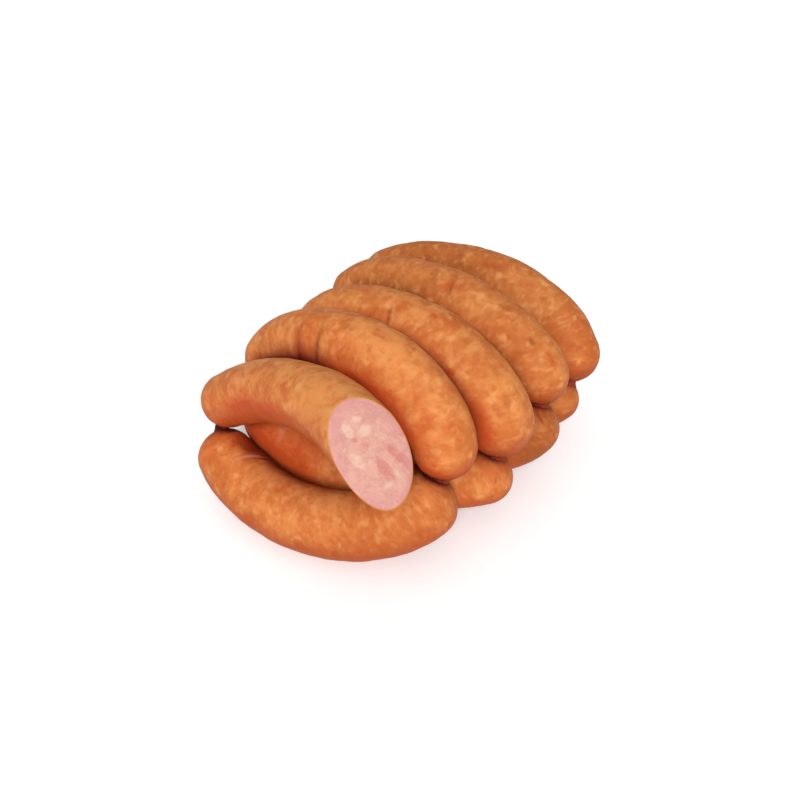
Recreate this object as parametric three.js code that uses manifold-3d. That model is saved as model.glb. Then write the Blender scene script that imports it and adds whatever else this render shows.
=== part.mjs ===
// A string of thick smoked sausage links, folded back and forth into two layers of links, side by side.
// Neighbouring links share one casing, which is twisted between them. The first link is cut on the slant.
// Lengths are in millimetres and angles in degrees. +X runs along the links, +Y across them, and +Z is up.
// The origin is on the surface that the string lies on, under the middle of its bounding box.

import * as THREE from "three";
import { mergeVertices } from "three/addons/utils/BufferGeometryUtils.js";
import Module from "manifold-3d";

// The links in the order of the string, odd ones on top and even ones below.
// middle: the top of the link's bow, on its centreline. yaw, pitch: the way the link points there.
// lean: the bow's direction, from upright at 0 over the back at 90 to downwards at 180.
// bend: the whole turn of the bow. skew: how much more its right half bends than its left.
// hook: the extra turn of each end. length: from tip to tip along the bow.
// radius: at the middle. taper: the share of the radius gained towards the right.
const LINKS = [
  {
    middle: [4.3, -67.5, 83.5],
    yaw: -12.5, pitch: 13.5, lean: 39, bend: 75,
    length: 179, radius: 15.7, skew: 0.15, taper: 0, hook: 1,
  },
  {
    middle: [3.3, -79, 16],
    yaw: 13, pitch: 3.5, lean: 231, bend: 91,
    length: 153, radius: 16.9, skew: 0.3, taper: 0.02, hook: 8,
  },
  {
    middle: [-1.2, -29.5, 88],
    yaw: 0, pitch: -0.5, lean: 11, bend: 116,
    length: 161, radius: 16.8, skew: 0.35, taper: -0.02, hook: 16,
  },
  {
    middle: [6.8, -35.5, 16.5],
    yaw: 17.5, pitch: 3, lean: 207, bend: 67,
    length: 157, radius: 16.9, skew: -1.4, taper: -0.12, hook: 7,
  },
  {
    middle: [5.3, 4.5, 85],
    yaw: -1, pitch: -5, lean: 12, bend: 93,
    length: 164, radius: 17.5, skew: 0, taper: 0.06, hook: 18,
  },
  {
    middle: [7.8, 5, 15],
    yaw: 13, pitch: -2, lean: 196, bend: 86,
    length: 169, radius: 15.9, skew: 0.35, taper: 0.01, hook: 19,
  },
  {
    middle: [2.8, 41.5, 86],
    yaw: -1, pitch: -3.5, lean: 14, bend: 69,
    length: 163, radius: 16.6, skew: -0.15, taper: -0.02, hook: 18,
  },
  {
    middle: [-1.7, 43.5, 13.5],
    yaw: 13.5, pitch: -3.5, lean: 193, bend: 77,
    length: 173, radius: 14.5, skew: -0.25, taper: -0.03, hook: 23,
  },
  {
    middle: [4.3, 81.5, 81.5],
    yaw: 4, pitch: -3.5, lean: 25, bend: 79,
    length: 167, radius: 16.8, skew: 0.7, taper: -0.06, hook: 12,
  },
];

// The links' round ends.
const END_SLIMMING = 0.07; // share of the radius lost towards each end
const DRAWN_IN = 2.2; // depth to which the casing is drawn in where it is tied
const DRAWN_WIDTH = 28; // angle at the end's centre over which that fades
const STUB_ANGLE = 15; // angle at the end's centre of the flat spot that the twist grows from

// The gentle unevenness of a filled casing.
const LUMP_SHARE = 0.012; // of the radius
const LUMP_WAVE = 52; // length along the link
const SECOND_LUMP = 0.6; // size of the second swell, against the first
const SECOND_WAVES = 1.7; // waves of the second swell to each of the first
const LUMP_SHIFT = 1.7; // phase from one link to the next, in radians

// The twists between the links.
const LEFT_TIE_OUTWARD = 7; // from the line between two ends' centres to their tie
const RIGHT_TIE_OUTWARD = 2; // the same on the right, where the ties lie hidden between the ends
const TWIST_RADIUS = 3.2;
const TWIST_FLARE = 0.2; // added to the radius at both ends
const TWIST_RIDGES = 3;
const TWIST_RIDGE_HEIGHT = 0.35;
const TWIST_TURN = 150; // turn of the ridges along the twist
const TWIST_GAP = 0.4; // between a twist and the link that it grows from
const TAIL_LENGTH = 9; // the free end's twist

// The first link's cut, its casing and its meat.
const CUT_SHARE = 0.62; // place of the cut on the centreline, from the middle to the right end
const CUT_YAW = 41; // the cut plane's normal, turned from the centreline across the bow
const CUT_PITCH = 32; // and then outwards, to the bow's outer side
const CASING_WALL = 0.8;
const CUT_BLOCK = 120; // side of the block that the cut takes away

const TOUCHING_GAP = 0.35; // between pieces that press on each other

// Steps of the curved surfaces.
const STEPS_AROUND = 20;
const STEPS_ALONG = 14; // between the centres of the two round ends
const END_RINGS = [72, 54, 38, 26, STUB_ANGLE]; // angles from the end's pole
const TWIST_STEPS_AROUND = 12;
const TWIST_STEPS_ALONG = 5;
const TRACE_STEPS = 30; // of the integral along a centreline
const NEIGHBOUR_SAMPLES = 60; // on a centreline, for finding where links press on each other

const LEFT = -1;
const RIGHT = 1;

const radians = THREE.MathUtils.degToRad;
const degrees = THREE.MathUtils.radToDeg;

// The centreline of a bowed link. The heading angle at the distance s from the middle is the bend times s over
// the length, plus the skew's square of that, plus the hook times the fifth power of s over the half length.
class BowedAxis {
  constructor(link, index) {
    this.link = link;
    this.index = index;
    this.half = link.length / 2 - link.radius * (1 - END_SLIMMING);
    const yaw = radians(link.yaw);
    const pitch = radians(link.pitch);
    const lean = radians(link.lean);
    this.along = new THREE.Vector3(
      Math.cos(yaw) * Math.cos(pitch),
      Math.sin(yaw) * Math.cos(pitch),
      Math.sin(pitch),
    );
    const level = new THREE.Vector3(-Math.sin(yaw), Math.cos(yaw), 0);
    const upright = new THREE.Vector3().crossVectors(this.along, level);
    this.bow = upright.multiplyScalar(Math.cos(lean)).addScaledVector(level, Math.sin(lean));
    this.across = new THREE.Vector3().crossVectors(this.bow, this.along);
    this.middle = new THREE.Vector3(...link.middle);
  }

  heading(s) {
    const share = s / this.link.length;
    const bend = this.link.bend * (share + this.link.skew * share * share);
    return radians(bend + this.link.hook * Math.pow(s / this.half, 5));
  }

  // The point at s, by the midpoint rule on the heading's cosine and sine.
  point(s) {
    const step = s / TRACE_STEPS;
    let forward = 0;
    let drop = 0;
    for (let i = 0; i < TRACE_STEPS; i++) {
      const angle = this.heading((i + 0.5) * step);
      forward += Math.cos(angle) * step;
      drop += Math.sin(angle) * step;
    }
    return this.middle.clone().addScaledVector(this.along, forward).addScaledVector(this.bow, -drop);
  }

  tangent(s) {
    const angle = this.heading(s);
    return this.along.clone().multiplyScalar(Math.cos(angle)).addScaledVector(this.bow, -Math.sin(angle));
  }

  outward(s) {
    return new THREE.Vector3().crossVectors(this.tangent(s), this.across);
  }

  radius(s) {
    const share = s / this.half;
    return this.link.radius * (1 + this.link.taper * share) * (1 - END_SLIMMING * Math.abs(share) ** 3);
  }

  // The round end on one side: its centre, its radius, and the way the link points out of it.
  endCentre(side) {
    return this.point(side * this.half);
  }

  endRadius(side) {
    return this.radius(side * this.half);
  }

  endDirection(side) {
    return this.tangent(side * this.half).multiplyScalar(side);
  }

  samples() {
    const made = [];
    for (let i = 0; i <= NEIGHBOUR_SAMPLES; i++) {
      const s = this.half * ((2 * i) / NEIGHBOUR_SAMPLES - 1);
      made.push({ centre: this.point(s), radius: this.radius(s) });
    }
    return made;
  }
}

// Slow swells along and around a link, different on each one.
function lump(axis, s, turn) {
  const phase = LUMP_SHIFT * axis.index;
  const wave = (2 * Math.PI * s) / LUMP_WAVE;
  const swell = Math.sin(wave + phase) + SECOND_LUMP * Math.sin(SECOND_WAVES * wave - 2 * phase + turn);
  return 1 + LUMP_SHARE * swell * Math.cos(turn - phase);
}

// Two ends are tied beside the place where they come closest, on the side that both point to.
function tiePoint(axisA, axisB, side) {
  const a = axisA.endCentre(side);
  const b = axisB.endCentre(side);
  const between = b.clone().sub(a).normalize();
  const spare = a.distanceTo(b) - axisA.endRadius(side) - axisB.endRadius(side);
  const out = axisA.endDirection(side).add(axisB.endDirection(side));
  out.addScaledVector(between, -out.dot(between)).normalize();
  const outward = side === LEFT ? LEFT_TIE_OUTWARD : RIGHT_TIE_OUTWARD;
  return a.addScaledVector(between, axisA.endRadius(side) + spare / 2).addScaledVector(out, outward);
}

// The direction from an end's centre to its tie: towards the neighbour that shares it, or straight on at a
// free end.
function tieDirection(axes, index, side) {
  const other = axes[index + (side === sideAfter(index) ? 1 : -1)];
  if (!other || (index === 0 && side === RIGHT)) return axes[index].endDirection(side);
  return tiePoint(axes[index], other, side).sub(axes[index].endCentre(side)).normalize();
}

// The side on which a link is tied to the next one.
function sideAfter(index) {
  return index % 2 === 0 ? LEFT : RIGHT;
}

// How far the casing is drawn in at an angle in degrees from the end's pole.
function drawnIn(angle) {
  return DRAWN_IN * Math.exp(-((angle / DRAWN_WIDTH) ** 2));
}

// Half the outline of a straight link, from the left pole to the right one, as LatheGeometry takes it.
function linkProfile(axis) {
  const points = [];
  const ring = (side, angle) => {
    const radius = axis.endRadius(side) - drawnIn(angle);
    const out = radius * Math.sin(radians(angle));
    points.push(new THREE.Vector2(out, side * (axis.half + radius * Math.cos(radians(angle)))));
  };
  points.push(new THREE.Vector2(0, -axis.half - stubDistance(axis, LEFT)));
  for (const angle of [...END_RINGS].reverse()) ring(LEFT, angle);
  for (let i = 0; i <= STEPS_ALONG; i++) {
    const s = axis.half * ((2 * i) / STEPS_ALONG - 1);
    points.push(new THREE.Vector2(axis.radius(s), s));
  }
  for (const angle of END_RINGS) ring(RIGHT, angle);
  points.push(new THREE.Vector2(0, axis.half + stubDistance(axis, RIGHT)));
  return points;
}

// From an end's centre to the flat spot that the twist grows from.
function stubDistance(axis, side) {
  return (axis.endRadius(side) - drawnIn(STUB_ANGLE)) * Math.cos(radians(STUB_ANGLE));
}

// Carries a point of the straight link onto the bow. The rings of a round end turn little by little from the
// centreline's direction to the tie's, so that the pole arrives at the tie.
function carry(axis, ties, x, s, z) {
  const turn = Math.atan2(z, x);
  const side = s < 0 ? LEFT : RIGHT;
  const beyond = Math.abs(s) - axis.half;
  const base = THREE.MathUtils.clamp(s, -axis.half, axis.half);
  const centre = axis.point(base);
  const offset = axis.outward(base).multiplyScalar(x).addScaledVector(axis.across, z);
  const swell = lump(axis, s, turn);
  if (beyond <= 0) return centre.addScaledVector(offset, swell);
  const forward = axis.endDirection(side);
  offset.addScaledVector(forward, beyond);
  const fromPole = Math.atan2(Math.hypot(x, z), beyond);
  const share = THREE.MathUtils.smoothstep(90 - degrees(fromPole), 0, 90 - STUB_ANGLE);
  const tilt = new THREE.Quaternion().setFromUnitVectors(forward, ties[side]);
  offset.applyQuaternion(new THREE.Quaternion().slerp(tilt, share));
  return centre.addScaledVector(offset, THREE.MathUtils.lerp(swell, 1, share));
}

// How far a point of one link has to move in, so that it clears each neighbour that presses on it.
function pressDepth(point, neighbours) {
  let depth = 0;
  for (const samples of neighbours) {
    let clear = Infinity;
    for (const { centre, radius } of samples) {
      clear = Math.min(clear, centre.distanceTo(point) - radius);
    }
    depth = Math.max(depth, (TOUCHING_GAP - clear) / 2);
  }
  return depth;
}

// A link's surface: the straight outline turned into a body, carried onto the bow, and pressed flat where it
// meets its neighbours and the surface that it lies on. An inset makes the same surface further in.
function linkGeometry(axis, ties, neighbours, inset = 0) {
  const geometry = new THREE.LatheGeometry(linkProfile(axis), STEPS_AROUND);
  const position = geometry.getAttribute("position");
  for (let i = 0; i < position.count; i++) {
    const [x, s, z] = [position.getX(i), position.getY(i), position.getZ(i)];
    const point = carry(axis, ties, x, s, z);
    const inner = axis.point(THREE.MathUtils.clamp(s, -axis.half, axis.half)).sub(point).normalize();
    point.addScaledVector(inner, pressDepth(point, neighbours) + inset);
    position.setXYZ(i, point.x, point.y, Math.max(point.z, inset));
  }
  return closed(geometry);
}

// Merges the seam and the poles of a turned surface into one closed mesh.
function closed(geometry) {
  geometry.deleteAttribute("normal");
  geometry.deleteAttribute("uv");
  const merged = mergeVertices(geometry, 1e-4);
  const index = merged.getIndex().array;
  const kept = [];
  for (let i = 0; i < index.length; i += 3) {
    const [a, b, c] = index.slice(i, i + 3);
    if (a !== b && b !== c && c !== a) kept.push(a, b, c);
  }
  merged.setIndex(kept);
  merged.computeVertexNormals();
  return merged;
}

// A twist of casing along a smooth curve, with ridges that wind round it and a flare at each tied end.
function twistGeometry(start, startOut, end, endOut, endFlare) {
  const reach = start.distanceTo(end) / 3;
  const curve = new THREE.CubicBezierCurve3(
    start,
    start.clone().addScaledVector(startOut, reach),
    end.clone().addScaledVector(endOut, reach),
    end,
  );
  const frames = curve.computeFrenetFrames(TWIST_STEPS_ALONG, false);
  const profile = [new THREE.Vector2(0, 0)];
  for (let step = 0; step <= TWIST_STEPS_ALONG; step++) profile.push(new THREE.Vector2(1, step));
  profile.push(new THREE.Vector2(0, TWIST_STEPS_ALONG));
  const geometry = new THREE.LatheGeometry(profile, TWIST_STEPS_AROUND);
  const position = geometry.getAttribute("position");
  for (let i = 0; i < position.count; i++) {
    const [x, step, z] = [position.getX(i), position.getY(i), position.getZ(i)];
    const share = step / TWIST_STEPS_ALONG;
    const flare = TWIST_FLARE * (1 - share) ** 2 + endFlare * share ** 2;
    const turn = TWIST_RIDGES * Math.atan2(z, x) + radians(TWIST_TURN) * share;
    const radius = TWIST_RADIUS + flare + TWIST_RIDGE_HEIGHT * Math.cos(turn);
    const point = curve.getPointAt(share);
    point.addScaledVector(frames.binormals[step], x * radius);
    point.addScaledVector(frames.normals[step], z * radius);
    position.setXYZ(i, point.x, point.y, point.z);
  }
  return closed(geometry);
}

// Where a link's twist starts, clear of the link's flat spot.
function twistStart(axis, side, tie) {
  return axis.endCentre(side).addScaledVector(tie, stubDistance(axis, side) + TWIST_GAP);
}

const wasm = await Module();
wasm.setup();

function toSolid(geometry) {
  const merged = closed(geometry.clone());
  return new wasm.Manifold(
    new wasm.Mesh({
      numProp: 3,
      vertProperties: merged.getAttribute("position").array,
      triVerts: new Uint32Array(merged.getIndex().array),
    }),
  );
}

function toGeometry(solid) {
  const mesh = solid.getMesh();
  const geometry = new THREE.BufferGeometry();
  geometry.setAttribute("position", new THREE.BufferAttribute(mesh.vertProperties, 3));
  geometry.setIndex(new THREE.BufferAttribute(mesh.triVerts, 1));
  geometry.computeVertexNormals();
  return geometry;
}

// The block beyond the slanting cut.
function cutBlock(axis) {
  const s = CUT_SHARE * axis.half;
  const yaw = radians(CUT_YAW);
  const pitch = radians(CUT_PITCH);
  const sideways = new THREE.Vector3().crossVectors(axis.tangent(s), axis.outward(s));
  const normal = axis
    .tangent(s)
    .multiplyScalar(Math.cos(yaw) * Math.cos(pitch))
    .addScaledVector(sideways, Math.sin(yaw) * Math.cos(pitch))
    .addScaledVector(axis.outward(s), Math.sin(pitch));
  const block = new THREE.BoxGeometry(CUT_BLOCK, CUT_BLOCK, CUT_BLOCK);
  block.translate(0, 0, CUT_BLOCK / 2);
  block.applyQuaternion(new THREE.Quaternion().setFromUnitVectors(new THREE.Vector3(0, 0, 1), normal));
  return toSolid(block.translate(...axis.point(s).toArray()));
}

const casing = { color: 0xc8794a, roughness: 0.45, metalness: 0 };
const meat = { color: 0xe8b0a4, roughness: 0.6, metalness: 0 };
const twisted = { color: 0xa8583a, roughness: 0.5, metalness: 0 };

const string = new THREE.Group();

function add(name, geometry, finish) {
  const mesh = new THREE.Mesh(geometry, new THREE.MeshStandardMaterial(finish));
  mesh.name = name;
  string.add(mesh);
}

const axes = LINKS.map((link, index) => new BowedAxis(link, index));
const samples = axes.map((axis) => axis.samples());

axes.forEach((axis, index) => {
  const ties = {
    [LEFT]: tieDirection(axes, index, LEFT),
    [RIGHT]: tieDirection(axes, index, RIGHT),
  };
  const neighbours = samples.filter((_, other) => other !== index);
  if (index > 0) {
    add(`link_${index + 1}`, linkGeometry(axis, ties, neighbours), casing);
    return;
  }
  const beyond = cutBlock(axis);
  const whole = toSolid(linkGeometry(axis, ties, neighbours));
  const hollow = toSolid(linkGeometry(axis, ties, neighbours, CASING_WALL));
  const filling = toSolid(linkGeometry(axis, ties, neighbours, CASING_WALL + TOUCHING_GAP));
  add("cut_link_casing", toGeometry(whole.subtract(hollow).subtract(beyond)), casing);
  add("cut_link_meat", toGeometry(filling.subtract(beyond)), meat);
});

for (let index = 0; index + 1 < axes.length; index++) {
  const side = sideAfter(index);
  const tieA = tieDirection(axes, index, side);
  const tieB = tieDirection(axes, index + 1, side);
  const start = twistStart(axes[index], side, tieA);
  const end = twistStart(axes[index + 1], side, tieB);
  add(`twist_${index + 1}_${index + 2}`, twistGeometry(start, tieA, end, tieB, TWIST_FLARE), twisted);
}

// The last link's free end closes in a short tail.
const last = axes.length - 1;
const tailOut = tieDirection(axes, last, sideAfter(last));
const tailStart = twistStart(axes[last], sideAfter(last), tailOut);
const tailEnd = tailStart.clone().addScaledVector(tailOut, TAIL_LENGTH);
add("tail", twistGeometry(tailStart, tailOut, tailEnd, tailOut.clone().negate(), -TWIST_FLARE), twisted);

export default string;
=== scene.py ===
"""The looks of a string of nine smoked sausage links, folded back and forth into two layers.

Every link, twist and the cut link's meat is worked out again as a fine surface of the same form as its
solid, and stands in for it. Shapes are worked out in millimetres and put into the meshes in metres.
"""

import itertools
import logging
import math
from dataclasses import dataclass
from dataclasses import field
from enum import Enum
from enum import IntEnum
from typing import Callable
from typing import Union

import bpy
import numpy as np
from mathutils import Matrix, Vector


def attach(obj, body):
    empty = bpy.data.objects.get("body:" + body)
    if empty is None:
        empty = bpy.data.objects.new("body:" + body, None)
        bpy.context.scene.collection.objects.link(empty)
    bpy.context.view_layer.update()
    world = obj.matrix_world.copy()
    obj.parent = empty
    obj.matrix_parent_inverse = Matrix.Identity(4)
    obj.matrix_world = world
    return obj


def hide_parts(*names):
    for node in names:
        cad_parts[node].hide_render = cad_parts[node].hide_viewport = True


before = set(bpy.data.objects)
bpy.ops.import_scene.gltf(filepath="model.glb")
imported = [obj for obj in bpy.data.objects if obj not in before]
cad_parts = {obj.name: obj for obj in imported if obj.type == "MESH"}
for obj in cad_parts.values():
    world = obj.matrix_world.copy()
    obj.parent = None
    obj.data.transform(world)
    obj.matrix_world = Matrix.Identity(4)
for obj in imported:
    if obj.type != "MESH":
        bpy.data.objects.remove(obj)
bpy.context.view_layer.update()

Array = np.ndarray
Number = Union[float, Array]
Colour = tuple[float, float, float, float]

log = logging.getLogger("sausages")

MM = 0.001  # a millimetre in metres
BODY = "root"

# The links' round ends.
END_SLIMMING = 0.07  # share of the radius lost towards each end
DRAWN_OUT = 0.6  # height to which the casing is drawn out where it is tied
DRAWN_WIDTH = math.radians(28)  # angle at the end's centre over which that fades
STUB_ANGLE = math.radians(15)  # angle at the end's centre of the spot that the twist grows from
NECK_RISE = 0.6  # height of the casing's neck on that spot

# The gentle unevenness of a filled casing.
LUMP_SHARE = 0.012  # of the radius
LUMP_WAVE = 52.0  # length along the link
LUMP_PHASE = 1.7  # radians from one link to the next
SECOND_LUMPS = 0.6  # share of a second, quicker wave
SECOND_PACE = 1.7  # how many times as quick it is

LEFT_TIE_OUTWARD = 7.0  # from the line between two ends' centres to their tie
RIGHT_TIE_OUTWARD = 2.0  # the same on the right, where the ties lie hidden between the ends
TOUCHING_GAP = 0.35  # between links that press on each other
PRESS_EDGE = 0.12  # roundness of a pressed flat's edge
TRACE_STEPS = 30  # of the integral along a centreline
NEIGHBOUR_SAMPLES = 60  # on a centreline

CONTACT_SHADE_REACH = 6.0  # from another link, over which painted shade and painted bounce light darken and redden the casing
TIE_SHADE_REACH = math.radians(30)  # angle at the end's centre over which painted shade darkens the casing round the tie
CREASE_SHADE = 1.6  # how much painted shade a crease gets, for each share of its depth in its width
UNDERSIDE_SHADE = (-0.45, 0.55)  # how far down a point faces where the painted shade of the underside starts and is full
FACE_SPOT_FALL = 0.7  # how steeply a spot on the cut face fades

# Steps of the fine surfaces.
STEPS_AROUND = 160
STEPS_BODY = 262
STEPS_END = 38
TURNS = 2 * np.pi * np.arange(STEPS_AROUND) / STEPS_AROUND  # angles around a link


class Side(IntEnum):
    """One of a link's two ends."""

    LEFT = -1
    RIGHT = 1


class Slot(Enum):
    """The material slots of the record."""

    CASING = "casing"
    MEAT = "meat"
    TWISTED = "twisted_casing"


class Tone(Enum):
    """A colour that a patch of casing leans to, and the name of its attribute; the dark one is painted
    shade.
    """

    RED = "red"
    GOLD = "gold"
    PALE = "pale"
    BROWN = "brown"
    MAUVE = "mauve"
    # painted shade, where shade falls next to other links and in folds
    DARK = "dark"


@dataclass(frozen=True)
class Patch:
    """A long spot on a link's casing or on the cut face.

    On a casing, along is in millimetres from the link's middle, round its bow, and around in degrees from
    the bow's outer side. On the face both are in millimetres, to the side and upwards. length and width
    are in millimetres too, and turned is the slope of the spot's length in degrees. amount is how much of
    it there is at its middle: a share, or a crease's depth, which is below 0 where a fold stands out.
    """

    along: float
    around: float
    length: float
    width: float
    amount: float
    turned: float = 0.0

    def scaled(self, ahead: Array, beside: Array) -> tuple[Array, Array]:
        """Turns distances from the spot's middle into shares of its half length and half width.

        Args:
            ahead: the distances along the first axis.
            beside: the distances along the second one.

        Returns:
            The shares along the spot and across it.
        """
        angle = math.radians(self.turned)
        lengthwise = (ahead * math.cos(angle) + beside * math.sin(angle)) / (self.length / 2)
        crosswise = (beside * math.cos(angle) - ahead * math.sin(angle)) / (self.width / 2)
        return lengthwise, crosswise

    def on_casing(self, s: Array, turn: Array, radius: float) -> Array:
        """How much there is at points of a casing: a bell across the spot and a flatter one along it.

        Args:
            s: distance along the link, in millimetres.
            turn: angle around the link, in radians.
            radius: the link's radius.

        Returns:
            The amounts.
        """
        beside = radius * ((turn - math.radians(self.around) + np.pi) % (2 * np.pi) - np.pi)
        lengthwise, crosswise = self.scaled(s - self.along, beside)
        return self.amount * np.exp(-(lengthwise**4) - crosswise**2)

    def on_face(self, level: Array, upward: Array) -> Array:
        """How much there is at points of the face: a flat-topped bell over the spot's ellipse."""
        lengthwise, crosswise = self.scaled(level - self.along, upward - self.around)
        return self.amount * np.exp(-FACE_SPOT_FALL * (lengthwise**2 + crosswise**2) ** 2)


class Mark(Enum):
    """What a spot on the cut face is, and the name of its attribute."""

    FAT = "fat"
    LEAN = "lean"


FACE_SPOTS = {
    Mark.FAT: (
        Patch(-7.8, 9.7, 7, 4, 0.85, -70), Patch(-0.8, 8.2, 6, 4.5, 1, 20), Patch(-3, 13.5, 4, 3, 0.7),
        Patch(-7, -3, 9, 4, 0.65, -60), Patch(-1, -5, 8, 5, 0.35, -50), Patch(5.5, 4, 6, 3.5, 0.45, -50),
        Patch(3.5, -15, 7, 2.4, 0.5, 30), Patch(8, -11.5, 6, 2.4, 0.45, -62),
    ),
    Mark.LEAN: (
        Patch(-6, 5.2, 2.6, 2.2, 1.1), Patch(-2.6, 2, 4.8, 4, 0.75), Patch(3.6, -8.7, 11, 4.8, 1, -61),
        Patch(10.4, -4.6, 13, 4.2, 1, -54), Patch(-3.6, -13.2, 7, 2, 0.4, 25),
        Patch(-12, -1, 5, 2.4, 0.3, -60), Patch(9.5, -19.5, 6, 2.6, 0.35, 35),
        Patch(-6, -19, 6, 2.2, 0.35, -30),
    ),
}


@dataclass(frozen=True)
class Link:
    """A bowed link, in millimetres and degrees.

    middle is the top of its bow, on the centreline, and yaw and pitch are the way the link points there.
    lean is the bow's direction, from upright at 0 over the back at 90 to downwards at 180, and bend its
    whole turn. length is from tip to tip along the bow. skew is how much more the right half bends than
    the left, taper the share of the radius gained towards the right, and hook the extra turn of each end.
    """

    middle: tuple[float, float, float]
    yaw: float
    pitch: float
    lean: float
    bend: float
    length: float
    radius: float
    skew: float
    taper: float
    hook: float
    creases: tuple[Patch, ...] = ()
    tints: dict[Tone, tuple[Patch, ...]] = field(default_factory=dict)


# The DARK patches are painted shade along lower flanks next to other links and in folds, and those below 0
# take painted shade away. Some RED and BROWN patches along those flanks are painted shade too; the others
# are the casing's own zones and spots.
LINKS = (
    Link(
        (4.3, -67.5, 83.5), -12.5, 13.5, 39, 75, 179, 15.7, 0.15, 0, 1,
        creases=(Patch(10, 328, 5, 2, 0.3),),
        tints={
            Tone.GOLD: (
                Patch(22, 318, 26, 20, 0.45), Patch(-5, 318, 110, 36, 0.4), Patch(14, 352, 80, 26, 0.15),
            ),
            Tone.DARK: (Patch(14, 352, 80, 26, -0.5),),
            Tone.PALE: (Patch(23, 319, 9, 3, 0.3, 70),),
            Tone.RED: (Patch(-46, 225, 26, 14, 0.6), Patch(-20, 232, 60, 12, 0.5)),
        },
    ),
    Link(
        (3.3, -79, 16), 13, 3.5, 231, 91, 153, 16.9, 0.3, 0.02, 8,
        creases=(
            Patch(-56, 152, 18, 7, 0.7, 10), Patch(-42.3, 154, 15, 1.8, 0.45, 69),
            Patch(-45.6, 142, 17, 2.6, -0.5, 69), Patch(-44, 190, 20, 8, -0.6),
            Patch(-9.5, 117, 3, 3, 0.15),
        ),
        tints={
            Tone.RED: (
                Patch(-57, 163, 22, 13, 0.9), Patch(-20, 166, 76, 20, 0.6), Patch(0, 38, 150, 26, 0.3),
                Patch(-72, 110, 40, 50, 0.35),
            ),
            Tone.DARK: (
                Patch(-57, 168, 20, 10, 0.4), Patch(-20, 182, 76, 15, 0.75),
                Patch(-77, 150, 12, 16, 0.35),
            ),
            Tone.MAUVE: (Patch(-45.6, 141, 13, 2.2, 0.5, 69),),
            Tone.BROWN: (Patch(0, 34, 150, 24, 0.3),),
            Tone.GOLD: (Patch(-20, 140, 36, 14, 0.6),),
        },
    ),
    Link(
        (-1.2, -29.5, 88), 0, -0.5, 11, 116, 161, 16.8, 0.35, -0.02, 16,
        creases=(
            Patch(-26, 282, 22, 3, 0.55, 90), Patch(-30, 287, 20, 3.4, -0.3, 90),
            Patch(-14, 288, 20, 2.8, 0.65, 90), Patch(6.5, 292, 14, 3, 0.25, 90),
            Patch(10.7, 341, 7, 2, 0.3, 10),
        ),
        tints={
            Tone.RED: (
                Patch(-20, 284, 10, 20, 0.35), Patch(6.5, 292, 3, 12, 0.3), Patch(38, 258, 70, 22, 0.65),
            ),
            Tone.PALE: (Patch(-30.5, 284, 18, 2.6, 0.45, 90),),
            Tone.DARK: (Patch(-34, 256, 64, 13, 0.55), Patch(38, 258, 70, 26, -0.6)),
            Tone.BROWN: (Patch(38, 258, 70, 26, -0.4),),
            Tone.GOLD: (Patch(30, 325, 34, 16, 0.5),),
        },
    ),
    Link(
        (6.8, -35.5, 16.5), 17.5, 3, 207, 67, 157, 16.9, -1.4, -0.12, 7,
        creases=(Patch(-62, 48, 16, 12, -1.4),),
        tints={
            Tone.RED: (Patch(-52, 90, 60, 60, 0.9),),
            Tone.DARK: (Patch(-52, 45, 60, 14, -0.25), Patch(31, 128, 16, 9, 1)),
            Tone.MAUVE: (Patch(-51, 106, 9, 3, 0.2, 120),),
            # painted highlight on the end
            Tone.PALE: (Patch(61.3, 61, 5, 4, 0.6),),
            Tone.BROWN: (Patch(72.6, 74, 2.4, 2.2, 0.9),),
        },
    ),
    Link(
        (5.3, 4.5, 85), -1, -5, 12, 93, 164, 17.5, 0, 0.06, 18,
        creases=(Patch(-7, 305, 10, 2.4, 0.5, 105),),
        tints={
            Tone.RED: (
                Patch(-7, 305, 9, 2.4, 0.6, 105), Patch(11.3, 340, 3.6, 3, 0.8),
                Patch(34, 285, 4.5, 3, 0.8), Patch(62, 278, 24, 11, 0.7),
            ),
            Tone.BROWN: (Patch(0, 330, 190, 120, 0.12), Patch(-34, 262, 70, 16, 0.7)),
            Tone.DARK: (Patch(-34, 256, 70, 12, 0.4),),
        },
    ),
    Link(
        (7.8, 5, 15), 13, -2, 196, 86, 169, 15.9, 0.35, 0.01, 19,
        creases=(Patch(83, 79, 9, 2.2, 0.35, 60),),
        tints={
            Tone.RED: (Patch(83, 79, 10, 3, 0.7, 60), Patch(76, 100, 40, 60, 0.4)),
            Tone.BROWN: (Patch(76, 85, 40, 60, 0.75),),
        },
    ),
    Link(
        (2.8, 41.5, 86), -1, -3.5, 14, 69, 163, 16.6, -0.15, -0.02, 18,
        creases=(Patch(4.5, 316, 14, 2.4, 0.5, 97),),
        tints={
            Tone.RED: (Patch(3, 314, 12, 3, 0.7, 97), Patch(61.5, 335, 5.5, 4, 0.9)),
            Tone.BROWN: (
                Patch(-6, 318, 14, 7, 0.25, 97), Patch(51.9, 322, 4, 3, 0.7),
                Patch(0, 320, 190, 120, 0.3), Patch(-34, 264, 70, 18, 0.7),
            ),
            Tone.PALE: (Patch(26, 322, 16, 9, 0.2, 80),),
            Tone.DARK: (Patch(-34, 258, 70, 12, 0.4),),
        },
    ),
    Link(
        (-1.7, 43.5, 13.5), 13.5, -3.5, 193, 77, 173, 14.5, -0.25, -0.03, 23,
        tints={
            Tone.BROWN: (Patch(80, 90, 40, 60, 0.4),),
        },
    ),
    Link(
        (4.3, 81.5, 81.5), 4, -3.5, 25, 79, 167, 16.8, 0.7, -0.06, 12,
        creases=(Patch(-20, 300, 9, 6, 0.25),),
        tints={
            Tone.RED: (Patch(6, 306, 7, 3.6, 0.8), Patch(70, 320, 50, 60, 0.4)),
            Tone.BROWN: (Patch(0, 320, 190, 120, 0.42), Patch(-30, 272, 70, 18, 0.6)),
        },
    ),
)


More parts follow.
